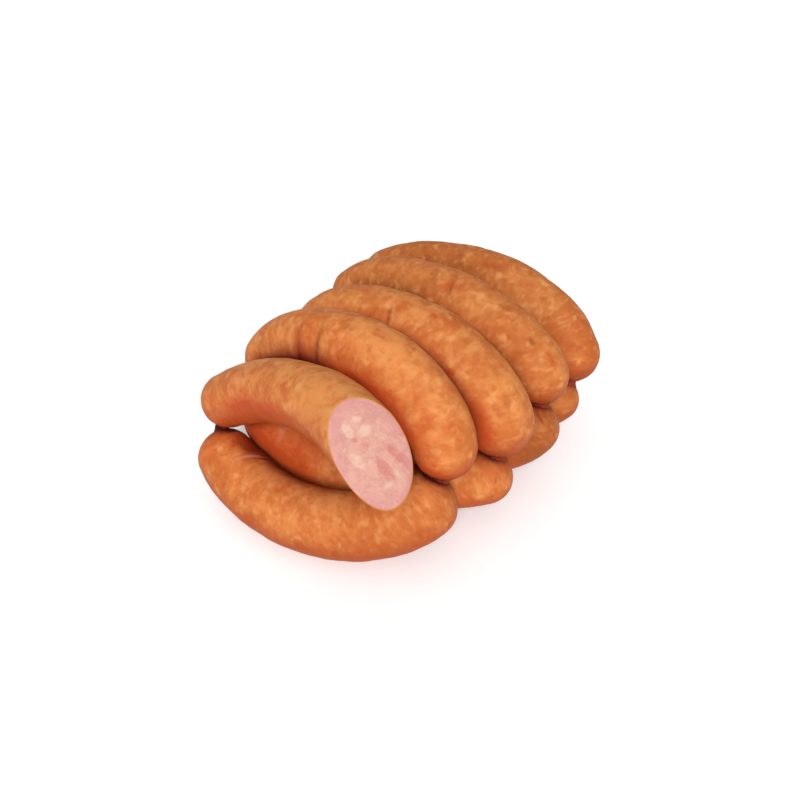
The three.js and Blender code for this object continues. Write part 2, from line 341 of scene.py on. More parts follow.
def unit(vector: Array) -> Array:
    """The vectors at length 1."""
    return vector / np.maximum(np.linalg.norm(vector, axis=-1, keepdims=True), 1e-9)


def smoothstep(value: Number, low: float, high: float) -> Number:
    """0 below low, 1 above high, and a smooth cubic between them."""
    share = np.clip((value - low) / (high - low), 0, 1)
    return share * share * (3 - 2 * share)


def softened(value: Array, edge: float) -> Array:
    """The value where it is over 0 and 0 below, with the corner rounded over about the edge."""
    return edge * np.logaddexp(0, value / edge)


class ValueNoise:
    """Smooth random values in space, between -1 and 1, on a lattice that repeats after CELLS cells."""

    CELLS = 32

    def __init__(self, seed: int) -> None:
        """Draws the lattice from a seed."""
        self.lattice = np.random.default_rng(seed).uniform(-1, 1, (self.CELLS,) * 3)

    def at(self, points: Array, wave: float) -> Array:
        """The noise at points: the eight lattice values round each, weighted by a smooth cubic in each axis.

        Args:
            points: an array of places, in millimetres.
            wave: the size of a lattice cell, in millimetres.

        Returns:
            One value for each point.
        """
        cells = points / wave
        low = np.floor(cells).astype(int)
        share = cells - low
        share = share * share * (3 - 2 * share)
        total = np.zeros(points.shape[:-1])
        for corner in itertools.product((0, 1), repeat=3):
            weight = np.where(corner, share, 1 - share).prod(-1)
            x, y, z = np.moveaxis((low + corner) % self.CELLS, -1, 0)
            total += weight * self.lattice[x, y, z]
        return total


NOISE = ValueNoise(seed=7)


class BowedAxis:
    """The centreline of a bowed link, and its thickness along it."""

    def __init__(self, link: Link, index: int) -> None:
        """Works out the bow's directions.

        Args:
            link: the link's sizes.
            index: its place in the string, from 0.
        """
        self.link = link
        self.index = index
        self.half = link.length / 2 - link.radius * (1 - END_SLIMMING)
        yaw, pitch, lean = np.radians((link.yaw, link.pitch, link.lean))
        self.along = np.array((np.cos(yaw) * np.cos(pitch), np.sin(yaw) * np.cos(pitch), np.sin(pitch)))
        level = np.array((-np.sin(yaw), np.cos(yaw), 0))
        upright = np.cross(self.along, level)
        self.bow = upright * np.cos(lean) + level * np.sin(lean)
        self.across = np.cross(self.bow, self.along)
        self.middle = np.array(link.middle)

    def heading(self, s: Number) -> Number:
        """The bend's share at s, with the skew's square of it and the hook's fifth power, in radians.

        Args:
            s: distance from the middle, in millimetres.

        Returns:
            How far the centreline has turned there.
        """
        share = s / self.link.length
        bend = self.link.bend * (share + self.link.skew * share * share)
        return np.radians(bend + self.link.hook * (s / self.half) ** 5)

    def point(self, s: Number) -> Array:
        """The point at s: the heading's cosine summed along the link and its sine summed against the bow.

        Args:
            s: distance from the middle, in millimetres.

        Returns:
            The points, one for each distance.
        """
        s = np.asarray(s, float)
        steps = (np.arange(TRACE_STEPS) + 0.5) / TRACE_STEPS
        angle = self.heading(s[..., None] * steps)
        forward = (np.cos(angle).mean(-1) * s)[..., None]
        drop = (np.sin(angle).mean(-1) * s)[..., None]
        return self.middle + forward * self.along - drop * self.bow

    def tangent(self, s: Number) -> Array:
        """The way the centreline runs at s."""
        angle = np.asarray(self.heading(s))[..., None]
        return np.cos(angle) * self.along - np.sin(angle) * self.bow

    def outward(self, s: Number) -> Array:
        """The way to the bow's outer side at s."""
        return np.cross(self.tangent(s), self.across)

    def radius(self, s: Number) -> Number:
        """The link's radius at s: tapered along it, and slimmed by the cube of its share of the half."""
        share = s / self.half
        return self.link.radius * (1 + self.link.taper * share) * (1 - END_SLIMMING * np.abs(share) ** 3)

    def end_centre(self, side: Side) -> Array:
        """The centre of the round end on one side."""
        return self.point(side * self.half)

    def end_direction(self, side: Side) -> Array:
        """The way the link points out of one end."""
        return self.tangent(side * self.half) * side

    def end_radius(self, side: Side) -> float:
        """The radius at the centre of one round end."""
        return self.radius(side * self.half)

    def stub_distance(self, side: Side) -> float:
        """From an end's centre to the spot that the twist grows from."""
        return (self.end_radius(side) + drawn_out(STUB_ANGLE)) * math.cos(STUB_ANGLE)


def drawn_out(polar: Number) -> Number:
    """How far the casing is drawn out to the tie at an angle from the end's pole: a bell round the pole."""
    return DRAWN_OUT * np.exp(-((polar / DRAWN_WIDTH) ** 2))


class Winding:
    """The order of the links in the string, and where each two of them are tied."""

    def __init__(self, links: tuple[Link, ...]) -> None:
        """Sets up the centrelines of links given in the order of the string."""
        self.axes = [BowedAxis(link, index) for index, link in enumerate(links)]

    @staticmethod
    def side_after(index: int) -> Side:
        """The side on which a link is tied to the next one."""
        return Side.LEFT if index % 2 == 0 else Side.RIGHT

    def tie_point(self, index: int, other: int, side: Side) -> Array:
        """Where two ends are tied: beside the place where they come closest, on the side that both point to.

        Args:
            index: one link.
            other: its neighbour in the string.
            side: the side on which they are tied.

        Returns:
            The point, in millimetres.
        """
        first, second = self.axes[index], self.axes[other]
        a, b = first.end_centre(side), second.end_centre(side)
        between = unit(b - a)
        spare = np.linalg.norm(b - a) - first.end_radius(side) - second.end_radius(side)
        out = first.end_direction(side) + second.end_direction(side)
        out = unit(out - between * (out @ between))
        outward = LEFT_TIE_OUTWARD if side == Side.LEFT else RIGHT_TIE_OUTWARD
        return a + between * (first.end_radius(side) + spare / 2) + out * outward

    def tie_direction(self, index: int, side: Side) -> Array:
        """From an end's centre to the tie that it shares with a neighbour, or straight on at a free end.

        Args:
            index: the link.
            side: its end.

        Returns:
            The direction.
        """
        other = index + (1 if side == self.side_after(index) else -1)
        axis = self.axes[index]
        if not 0 <= other < len(self.axes):
            return axis.end_direction(side)
        return unit(self.tie_point(index, other, side) - axis.end_centre(side))


@dataclass
class Spot:
    """Points of a link's surface, with what is known of each.

    base is the distance along the centreline, polar the angle from the end's pole, which is a right angle
    between the two round ends, and turn the angle around the link.
    """

    base: Array
    polar: Array
    turn: Array

    def side(self) -> Array:
        """Which end each point is nearer to."""
        return np.where(self.base < 0, -1.0, 1.0)


class LinkSkin:
    """The outer surface of one link."""

    def __init__(self, winding: Winding, index: int) -> None:
        """Collects what shapes the link.

        Args:
            winding: the string.
            index: the link's place in it.
        """
        self.axis = winding.axes[index]
        self.ties = {side: winding.tie_direction(index, side) for side in Side}
        self.neighbours = []
        for axis in winding.axes:
            if axis is not self.axis:
                s = np.linspace(-1, 1, NEIGHBOUR_SAMPLES + 1) * axis.half
                self.neighbours.append((axis.point(s), axis.radius(s)))

    def lump(self, s: Array, turn: Array) -> Array:
        """Slow swells: two waves along the link, the second turning round it, on one slanting side.

        Args:
            s: distance along the link, in millimetres.
            turn: angle around it.

        Returns:
            The factors of the link's thickness.
        """
        phase = LUMP_PHASE * self.axis.index
        wave = 2 * np.pi * s / LUMP_WAVE
        swell = np.sin(wave + phase) + SECOND_LUMPS * np.sin(SECOND_PACE * wave - 2 * phase + turn)
        return 1 + LUMP_SHARE * swell * np.cos(turn - phase)

    def tilted(self, offset: Array, side: Array, share: Array) -> Array:
        """Turns offsets at an end by a share of the angle from the link's direction to its tie.

        Args:
            offset: vectors from the end's centre.
            side: the end that each is at.
            share: of the whole turn.

        Returns:
            The turned vectors, by the rule that turns a vector about an axis.
        """
        turned = offset
        for end in Side:
            forward = self.axis.end_direction(end)
            spin = np.cross(forward, self.ties[end])
            angle = np.arctan2(np.linalg.norm(spin), forward @ self.ties[end]) * share[..., None]
            spin = unit(spin)
            swung = np.cos(angle) * offset + np.sin(angle) * np.cross(spin, offset)
            swung = swung + spin * ((offset @ spin)[..., None] * (1 - np.cos(angle)))
            turned = np.where((side == end)[..., None], swung, turned)
        return turned

    def smooth_points(self, spot: Spot) -> tuple[Array, Array]:
        """The link before anything presses on it.

        A point lies at the radius of its place, and what the tie draws out, from its centre. Inside the
        spot that the twist grows from, the ring shrinks to the pole while it rises by the neck. The rings
        of an end tilt little by little to the tie.

        Args:
            spot: the points' places.

        Returns:
            The points and their centres.
        """
        side = spot.side()
        bounded = np.maximum(spot.polar, STUB_ANGLE)
        inner = spot.polar / bounded
        size = self.axis.radius(spot.base) + drawn_out(bounded)
        out = size * np.sin(bounded) * inner
        beyond = size * np.cos(bounded) + NECK_RISE * (1 - inner**2)
        forward = self.axis.tangent(side * self.axis.half) * side[..., None]
        ring = np.cos(spot.turn)[..., None] * self.axis.outward(spot.base)
        ring = ring + np.sin(spot.turn)[..., None] * self.axis.across
        offset = ring * out[..., None] + forward * beyond[..., None]
        share = smoothstep(np.pi / 2 - spot.polar, 0, np.pi / 2 - STUB_ANGLE)
        swell = self.lump(spot.base + side * beyond, spot.turn)
        offset = self.tilted(offset, side, share) * (swell + (1 - swell) * share)[..., None]
        centre = self.axis.point(spot.base)
        return centre + offset, centre

    def clearance(self, points: Array) -> Array:
        """The distance from each point to the nearest of the other links, negative inside it.

        Args:
            points: the points.

        Returns:
            The distances in millimetres.
        """
        flat = points.reshape(-1, 3)
        nearest = np.full(len(flat), np.inf)
        for centres, radii in self.neighbours:
            square = (flat**2).sum(1)[:, None] + (centres**2).sum(1) - 2 * flat @ centres.T
            clear = (np.sqrt(np.maximum(square, 0)) - radii).min(1)
            nearest = np.minimum(nearest, clear)
        return nearest.reshape(points.shape[:-1])

    def pressed_points(self, spot: Spot, inset: float = 0.0) -> tuple[Array, Array, Array]:
        """The link pressed flat where it meets its neighbours and the surface that it lies on.

        Args:
            spot: the points' places.
            inset: how far inside the surface, in millimetres.

        Returns:
            The points, the way out of the link at each, and the clearance to the other links.
        """
        points, centre = self.smooth_points(spot)
        clear = self.clearance(points)
        out = unit(points - centre)
        depth = softened((TOUCHING_GAP - clear) / 2, PRESS_EDGE)
        points = points - out * (depth + inset)[..., None]
        points[..., 2] = inset + softened(points[..., 2] - inset, PRESS_EDGE / 2)
        return points, out, clear

    def pole(self, side: Side, inset: float = 0.0) -> Array:
        """The point at the middle of the spot that a twist grows from."""
        spot = Spot(*(np.array([value]) for value in (side * self.axis.half, 0.0, 0.0)))
        return self.pressed_points(spot, inset)[0][0]

    def painted(self, patches: tuple[Patch, ...], spot: Spot) -> Array:
        """The sum of some patches at each point."""
        s, radius = self.arc_length(spot), self.axis.link.radius
        return sum((patch.on_casing(s, spot.turn, radius) for patch in patches), np.zeros(s.shape))

    def arc_length(self, spot: Spot) -> Array:
        """Distance along the surface from the link's middle: the base, and on an end its arc as well."""
        return spot.base + spot.side() * self.axis.link.radius * (np.pi / 2 - spot.polar)


@dataclass(frozen=True)
class Relief:
    """The fine unevenness of a filled natural casing, in millimetres and radians."""

    waves: tuple[tuple[float, float], ...] = ((9.0, 0.26), (4.2, 0.13), (2.1, 0.04))  # sizes and heights
    pleats: int = 13  # round a tie
    pleat_height: float = 0.14
    pleat_drop: float = 0.3  # share of the height by which the pleats lie lower
    pleat_reach: float = math.radians(24)
    pleat_swirl: float = 0.32
    pleat_stray: tuple[float, float] = (1.3, 0.8)  # by two waves round the tie
    gathers: float = 0.16
    gather_crest: float = 0.2  # share of the height at which a gather's crest is flat
    gather_wave: float = 5.5
    gather_edge: float = 0.45  # cosine of the angle from the bow's inner side at which they end
    gather_stray: float = 2.6
    gather_stray_wave: float = 11.0
    gather_patch_wave: float = 17.0
    gather_patch_edge: float = 0.3
    floor_fade: float = 1.6
    press_fade: float = 0.9

    def height(self, skin: LinkSkin, spot: Spot, points: Array, clear: Array) -> Array:
        """How far each point stands out of the smooth surface.

        The sum of three noises, of pleats that swirl into each tie, of small gathers across the bow's inner
        side and of the link's own creases. It fades to nothing where the link is pressed.

        Args:
            skin: the link's surface.
            spot: the points' places.
            points: the points themselves.
            clear: their clearance to the other links.

        Returns:
            The heights in millimetres.
        """
        total = sum(height * NOISE.at(points, wave) for wave, height in self.waves)
        total = total + self.tied(spot) + self.gathered(spot, points)
        total = total - skin.painted(skin.axis.link.creases, spot)
        free = smoothstep(clear, 0, self.press_fade + TOUCHING_GAP)
        return total * free * smoothstep(points[..., 2], 0, self.floor_fade)

    def tied(self, spot: Spot) -> Array:
        """Pleats round the pole: a cosine of the turn, uneven and swirling, that fades away from the tie.

        Args:
            spot: the points' places.

        Returns:
            The heights in millimetres.
        """
        fade = np.exp(-((np.maximum(spot.polar - STUB_ANGLE, 0) / self.pleat_reach) ** 2))
        swirl = self.pleat_swirl * (1 - spot.polar / (np.pi / 2)) * spot.side()
        slow, quick = self.pleat_stray
        stray = slow * np.sin(2 * spot.turn + 1.1) + quick * np.sin(3 * spot.turn + spot.side())
        pleat = np.cos(self.pleats * (spot.turn + swirl) + stray)
        return self.pleat_height * fade * np.where(spot.polar < np.pi / 2, pleat - self.pleat_drop, 0)

    def gathered(self, spot: Spot, points: Array) -> Array:
        """Small gathers across the inner side: a wave along the link, made uneven by noise.

        Args:
            spot: the points' places.
            points: the points themselves.

        Returns:
            The heights in millimetres.
        """
        inner = smoothstep(-np.cos(spot.turn), self.gather_edge, 1)
        stray = self.gather_stray * NOISE.at(points, self.gather_stray_wave)
        wave = np.sin(2 * np.pi * spot.base / self.gather_wave + stray)
        body = np.where(spot.polar < np.pi / 2, 0, 1)
        edge = self.gather_patch_edge
        here = smoothstep(NOISE.at(points, self.gather_patch_wave), -edge, edge)
        return self.gathers * inner * body * np.minimum(wave, self.gather_crest) * here


def grid_mesh(
    name: str, first: Array, rings: Array, last: Array, values: dict[str, Array]
) -> bpy.types.Object:
    """Makes one closed mesh: rings of quads with a fan of triangles on the first and on the last ring.

    Args:
        name: of the piece.
        first: the pole before the rings, in millimetres.
        rings: an array of rings of points, in millimetres.
        last: the pole after the rings.
        values: named numbers for every point of the rings, kept as attributes.

    Returns:
        The object, at the origin.
    """
    count, around = rings.shape[:2]
    points = np.concatenate((first[None], rings.reshape(-1, 3), last[None])) * MM
    here = 1 + np.arange(count * around).reshape(count, around)
    beside = np.roll(here, -1, axis=1)
    quads = np.stack((here[:-1], here[1:], beside[1:], beside[:-1]), -1).reshape(-1, 4)
    start = np.stack((np.zeros(around, int), here[0], beside[0]), -1)
    end = np.stack((np.full(around, len(points) - 1), beside[-1], here[-1]), -1)
    corners = np.concatenate((quads.ravel(), start.ravel(), end.ravel()))
    sizes = np.concatenate((np.full(len(quads), 4), np.full(2 * around, 3)))
    mesh = bpy.data.meshes.new(name)
    mesh.vertices.add(len(points))
    mesh.vertices.foreach_set("co", points.astype(np.float32).ravel())
    mesh.loops.add(len(corners))
    mesh.loops.foreach_set("vertex_index", corners.astype(np.int32))
    mesh.polygons.add(len(sizes))
    mesh.polygons.foreach_set("loop_start", (np.cumsum(sizes) - sizes).astype(np.int32))
    mesh.polygons.foreach_set("loop_total", sizes.astype(np.int32))
    mesh.update(calc_edges=True)
    mesh.validate()
    mesh.shade_smooth()
    for key, value in values.items():
        flat = np.broadcast_to(value, (count, around))
        full = np.concatenate((flat[:1].mean(1), flat.ravel(), flat[-1:].mean(1)))
        mesh.attributes.new(key, "FLOAT", "POINT").data.foreach_set("value", full.astype(np.float32))
    made = bpy.data.objects.new(name, mesh)
    bpy.context.scene.collection.objects.link(made)
    return made


def dress(
    piece: bpy.types.Object, nodes: tuple[str, ...], material: bpy.types.Material
) -> bpy.types.Object:
    """Gives a piece its material, attaches it to the body and hides the solids that it replaces.

    Args:
        piece: the object.
        nodes: the solids that it replaces.
        material: the material.

    Returns:
        The piece.
    """
    piece.data.materials.append(material)
    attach(piece, BODY)
    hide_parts(*nodes)
    return piece


def end_rings(side: Side, half: float, steps: int = STEPS_END) -> tuple[Array, Array]:
    """The rings of one round end, without the pole and the body's first ring.

    Args:
        side: which end.
        half: half the body's length.
        steps: from the pole to the body.

    Returns:
        The rings' bases and polar angles.
    """
    polar = np.linspace(0, np.pi / 2, steps + 1)[1:-1]
    if side == Side.RIGHT:
        polar = polar[::-1]
    return np.full_like(polar, side * half), polar


@dataclass
class WholeLink:
    """A whole link of the string."""

    winding: Winding
    index: int
    relief: Relief = field(default_factory=Relief)

    def spots(self) -> Spot:
        """The rings of the left end, the body and the right end.

        Returns:
            The places of their points.
        """
        half = self.winding.axes[self.index].half
        left, left_polar = end_rings(Side.LEFT, half)
        right, right_polar = end_rings(Side.RIGHT, half)
        body = np.linspace(-half, half, STEPS_BODY)
        base = np.concatenate((left, body, right))
        polar = np.concatenate((left_polar, np.full_like(body, np.pi / 2), right_polar))
        shape = (len(base), STEPS_AROUND)
        return Spot(*(np.broadcast_to(part, shape) for part in (base[:, None], polar[:, None], TURNS)))

    def build(self, material: bpy.types.Material) -> bpy.types.Object:
        """Makes the link's piece.

        Args:
            material: the casing's.

        Returns:
            The piece.
        """
        skin = LinkSkin(self.winding, self.index)
        spot = self.spots()
        points, out, clear = skin.pressed_points(spot)
        points = raised(points, out, self.relief.height(skin, spot, points, clear))
        values = casing_values(skin, spot, out, clear)
        name = f"link_{self.index + 1}"
        left, right = (skin.pole(side) for side in Side)
        piece = grid_mesh(name + "_skin", left, points, right, values)
        return dress(piece, (name,), material)


def raised(points: Array, out: Array, height: Array) -> Array:
    """Points moved out by a height, and never below the surface that the string lies on.

    Args:
        points: the points.
        out: the way out at each.
        height: how far each one moves.

    Returns:
        The moved points.
    """
    moved = points + out * height[..., None]
    moved[..., 2] = np.maximum(moved[..., 2], 0)
    return moved


def casing_values(skin: LinkSkin, spot: Spot, out: Array, clear: Array) -> dict[str, Array]:
    """The casing's attributes: each tone's share, with painted shade in the creases, and where each point
    is, which places painted shade near other links, round the ties and on the undersides.

    Args:
        skin: the link's surface.
        spot: the points' places.
        out: the way out of the link at each.
        clear: their clearance to the other links.

    Returns:
        The values by name.
    """
    link = skin.axis.link
    values = {tone.value: skin.painted(link.tints.get(tone, ()), spot) for tone in Tone}
    # painted shade in each crease, by its depth
    for crease in link.creases:
        if crease.amount > 0:
            values[Tone.DARK.value] += skin.painted((crease,), spot) * CREASE_SHADE / crease.width
    # painted shade and painted bounce light near other links
    values["near"] = np.exp(-((np.maximum(clear, 0) / CONTACT_SHADE_REACH) ** 2))
    # painted shade round the ties
    values["tied"] = np.exp(-((spot.polar / TIE_SHADE_REACH) ** 2))
    # painted shade on the undersides
    values["under"] = smoothstep(-out[..., 2], *UNDERSIDE_SHADE)
    values["along"] = skin.arc_length(spot) * MM
    return values


@dataclass
class CutLink:
    """The first link, cut on the slant: its casing and its meat."""

    winding: Winding
    index: int = 0
    share: float = 0.62  # place of the cut on the centreline, from the middle to the right end
    yaw: float = math.radians(41)  # the cut plane's normal, turned from the centreline across the bow
    pitch: float = math.radians(32)  # and then outwards, to the bow's outer side
    wall: float = 0.3  # of the casing at the cut
    overlap: float = 0.06  # of the meat and the casing's inner wall
    crown: float = 0.7  # height of the meat's face over the cut's rim
    grain: tuple[tuple[float, float], ...] = ((4.5, 0.14), (1.9, 0.09), (0.9, 0.05))  # sizes and heights
    grain_edge: float = 0.08  # share of the face over which the grain starts
    face_rings: int = 90
    rise: float = 0.2  # added to the casing's relief, as the meat would show through its hollows
    lowest: float = -0.1  # height of that relief
    calm: float = 2.0  # width beside the rim over which the relief fades
    rim_bulge: float = 1 / 3  # share of the wall by which its rim is rounded out
    rim_steps: int = 6
    rim_reach: float = 0.5  # width beside the rim that has its tone
    halvings: int = 26  # in the search for the cut
    relief: Relief = field(default_factory=Relief)

    def __post_init__(self) -> None:
        """Works out the cut's plane."""
        self.skin = LinkSkin(self.winding, self.index)
        axis = self.skin.axis
        s = self.share * axis.half
        tangent, outward = axis.tangent(s), axis.outward(s)
        sideways = np.cross(tangent, outward)
        self.centre = axis.point(s)
        self.normal = tangent * math.cos(self.yaw) * math.cos(self.pitch)
        self.normal = self.normal + sideways * math.sin(self.yaw) * math.cos(self.pitch)
        self.normal = self.normal + outward * math.sin(self.pitch)
        self.level = unit(np.cross((0, 0, 1), self.normal))
        self.upward = np.cross(self.normal, self.level)

    def cut_at(self, inset: float) -> Array:
        """The place on the centreline at which each line along the link meets the cut, found by halving.

        Args:
            inset: how far inside the surface.

        Returns:
            One place for each turn.
        """
        low = np.zeros(STEPS_AROUND)
        high = np.full(STEPS_AROUND, self.skin.axis.half)
        for _ in range(self.halvings):
            middle = (low + high) / 2
            spot = Spot(middle, np.full(STEPS_AROUND, np.pi / 2), TURNS)
            points = self.skin.pressed_points(spot, inset)[0]
            beyond = (points - self.centre) @ self.normal > 0
            high = np.where(beyond, middle, high)
            low = np.where(beyond, low, middle)
        return (low + high) / 2

    def side_spots(self, inset: float, steps: int, end_steps: int) -> Spot:
        """The rings from the left pole to the cut, which the last ring follows.

        Args:
            inset: how far inside the surface.
            steps: rings along the body.
            end_steps: steps from the pole to the body.

        Returns:
            The places of their points.
        """
        half = self.skin.axis.half
        left, left_polar = end_rings(Side.LEFT, half, end_steps)
        share = np.linspace(0, 1, steps)[:, None]
        body = -half + (self.cut_at(inset) + half) * share
        base = np.concatenate((np.repeat(left[:, None], STEPS_AROUND, 1), body))
        polar = np.concatenate((left_polar, np.full(steps, np.pi / 2)))[:, None]
        return Spot(base, np.broadcast_to(polar, base.shape), np.broadcast_to(TURNS, base.shape))

    def build_casing(self, material: bpy.types.Material) -> bpy.types.Object:
        """The casing as a shell: its outer side, the rounded rim of the cut and its inner side.

        Args:
            material: the casing's.

        Returns:
            The piece.
        """
        spot = self.side_spots(0, STEPS_BODY, STEPS_END)
        points, out, clear = self.skin.pressed_points(spot)
        height = self.relief.height(self.skin, spot, points, clear) + self.rise
        rim_distance = np.abs((points - self.centre) @ self.normal)
        height = np.maximum(height, self.lowest) * smoothstep(rim_distance, 0, self.calm)
        outer = raised(points, out, height)
        inside = self.side_spots(self.wall, STEPS_BODY // 4, STEPS_END // 3)
        inner = self.skin.pressed_points(inside, self.wall)[0][::-1]
        round_off = np.linspace(0, np.pi, self.rim_steps + 1)[1:-1, None, None]
        rim = outer[-1] + (inner[0] - outer[-1]) * (1 - np.cos(round_off)) / 2
        rim = rim + self.normal * np.sin(round_off) * self.wall * self.rim_bulge
        values = casing_values(self.skin, spot, out, clear)
        extra = len(rim) + len(inner)
        for key, value in values.items():
            values[key] = np.concatenate((value, np.repeat(value[-1:], extra, 0)))
        edge = np.exp(-((rim_distance / self.rim_reach) ** 2))
        values["rim"] = np.concatenate((edge, np.ones((extra, STEPS_AROUND))))
        rings = np.concatenate((outer, rim, inner))
        poles = [self.skin.pole(Side.LEFT, inset) for inset in (0, self.wall)]
        piece = grid_mesh("cut_link_casing_skin", poles[0], rings, poles[1], values)
        return dress(piece, ("cut_link_casing",), material)

    def build_meat(self, material: bpy.types.Material) -> bpy.types.Object:
        """The meat that runs through the link, with the uneven face of the cut.

        Args:
            material: the meat's.

        Returns:
            The piece.
        """
        inset = self.wall - self.overlap
        spot = self.side_spots(inset, STEPS_BODY // 2, STEPS_END // 2)
        side = self.skin.pressed_points(spot, inset)[0]
        share = np.linspace(1, 0, self.face_rings + 1)[1:-1, None]
        face = self.centre + (side[-1] - self.centre) * share[..., None]
        grain = sum(height * NOISE.at(face, wave) for wave, height in self.grain)
        height = self.crown * (1 - share**2) ** 0.5 + grain * smoothstep(1 - share, 0, self.grain_edge)
        face = face + self.normal * height[..., None]
        rings = np.concatenate((side, face))
        level, upward = (rings - self.centre) @ self.level, (rings - self.centre) @ self.upward
        beside = np.zeros(side.shape[:2])
        on_face = np.concatenate((beside, np.ones(face.shape[:2])))
        values = {"face": np.concatenate((beside, np.broadcast_to(1 - share, face.shape[:2])))}
        for mark, spots in FACE_SPOTS.items():
            values[mark.value] = sum(patch.on_face(level, upward) for patch in spots) * on_face
        middle = self.centre + self.normal * self.crown
        piece = grid_mesh("cut_link_meat_body", self.skin.pole(Side.LEFT, inset), rings, middle, values)
        return dress(piece, ("cut_link_meat",), material)


@dataclass
class Twist:
    """A twist of empty casing between two links, or after the last one, in millimetres and radians."""

    winding: Winding
    index: int
    radius: float = 2.9
    sunk: float = 1.5  # into each link
    flare: float = 3.0  # added to the radius at its sunk end
    flare_reach: float = 1.7  # length over which it fades
    waist: float = 0.1  # share of the radius lost half way
    oval: float = 0.05  # share of the radius by which the ring is out of round
    oval_turned: float = 5.0  # from end to end
    ridges: int = 3
    ridge_height: float = 0.38
    ridge_shade: float = 0.35  # how much lighter a ridge is painted: painted light on the ridges
    threads: int = 11
    thread_height: float = 0.12
    thread_shade: float = 0.25
    thread_stray: float = 0.8
    turned: float = math.radians(190)
    tail: float = 9.0  # length of the last one
    tail_round: float = 0.12  # share of that length that rounds off its tip
    tail_tip: float = 0.02  # square of the share of the radius that is left there
    aside: tuple[float, float, float] = (0.01, 0.02, 0.03)  # starts the ring where both ends are in line
    steps: int = 60
    around: int = 66

    def is_tail(self) -> bool:
        """Whether the twist comes after the last link."""
        return self.index + 1 == len(self.winding.axes)

    def ends(self) -> tuple[Array, Array, Array, Array]:
        """The twist's end points, sunk into the links.

        Returns:
            The first point, the way out of it, the last point and the way out of that.
        """
        side = self.winding.side_after(self.index)
        axis = self.winding.axes[self.index]
        out = self.winding.tie_direction(self.index, side)
        start = axis.end_centre(side) + out * (axis.stub_distance(side) - self.sunk)
        if self.is_tail():
            return start, out, start + out * (self.tail + self.sunk), -out
        other = self.winding.axes[self.index + 1]
        back = self.winding.tie_direction(self.index + 1, side)
        return start, out, other.end_centre(side) + back * (other.stub_distance(side) - self.sunk), back

    def line(self, share: Array) -> tuple[Array, Array, Array]:
        """The middle of the twist: a cubic curve that leaves each end straight.

        Args:
            share: of the way along it.

        Returns:
            The curve's points, and two directions across it at each.
        """
        start, out, end, back = self.ends()
        reach = np.linalg.norm(end - start) / 3
        handles = (start, start + out * reach, end + back * reach, end)
        weights = [math.comb(3, i) * share**i * (1 - share) ** (3 - i) for i in range(4)]
        line = sum(weight * handle for weight, handle in zip(weights, handles))
        tangent = unit(np.gradient(line, axis=0))
        reference = np.cross(out, np.cross(out, back) + self.aside)
        across = unit(reference - tangent * (tangent @ reference)[:, None])
        return line, across, np.cross(tangent, across)

    def build(self, material: bpy.types.Material) -> bpy.types.Object:
        """Carries a ridged ring along the twist's line.

        The ring's radius has a flare that fades away from each link, a slim waist, and winding ridges and
        threads.

        Args:
            material: the twisted casing's.

        Returns:
            The piece.
        """
        share = np.linspace(0, 1, self.steps + 1)[:, None]
        line, across, beside = self.line(share)
        length = np.linalg.norm(np.diff(line, axis=0), axis=1).sum()
        near = np.exp(-share * length / self.flare_reach)
        far = np.exp(-(1 - share) * length / self.flare_reach)
        flare = near if self.is_tail() else near + far
        turn = 2 * np.pi * np.arange(self.around) / self.around
        winding = turn + self.turned * share
        ridge = np.cos(self.ridges * winding)
        thread = np.cos(self.threads * winding + self.thread_stray * np.sin(2 * turn))
        uneven = 1 + self.oval * np.sin(2 * turn + self.oval_turned * share)
        size = (self.radius * (1 - self.waist * np.sin(np.pi * share)) + self.flare * flare) * uneven
        size = size + (self.ridge_height * ridge + self.thread_height * thread) * (1 - flare)
        if self.is_tail():
            past = ((share - 1) / self.tail_round + 1).clip(0, 1)
            size = size * np.sqrt(np.clip(1 - past**2, self.tail_tip, 1))
        ring = np.cos(turn)[None, :, None] * across[:, None] + np.sin(turn)[None, :, None] * beside[:, None]
        rings = line[:, None] + ring * size[..., None]
        # painted shade, darker in the grooves between the ridges and threads
        groove_shade = np.clip(0.5 - self.ridge_shade * ridge - self.thread_shade * thread, 0, 1)
        names = ("tail",) if self.is_tail() else (f"twist_{self.index + 1}_{self.index + 2}",)
        piece = grid_mesh(names[0] + "_casing", line[0], rings, line[-1], {"groove_shade": groove_shade, "flare": flare})
        return dress(piece, names, material)


def math_method(operation: str, swapped: bool = False) -> Callable[["Signal", "Operand"], "Signal"]:
    """Makes a method of a signal that adds a Math node.

    Args:
        operation: the node's operation.
        swapped: whether the signal comes second.

    Returns:
        The method, which takes the other operand and gives the result.
    """

    def method(self: "Signal", other: "Operand") -> "Signal":
        """Adds the node."""
        first, second = (other, self) if swapped else (self, other)
        return self.shader.node("ShaderNodeMath", {"operation": operation}, {0: first, 1: second})

    return method


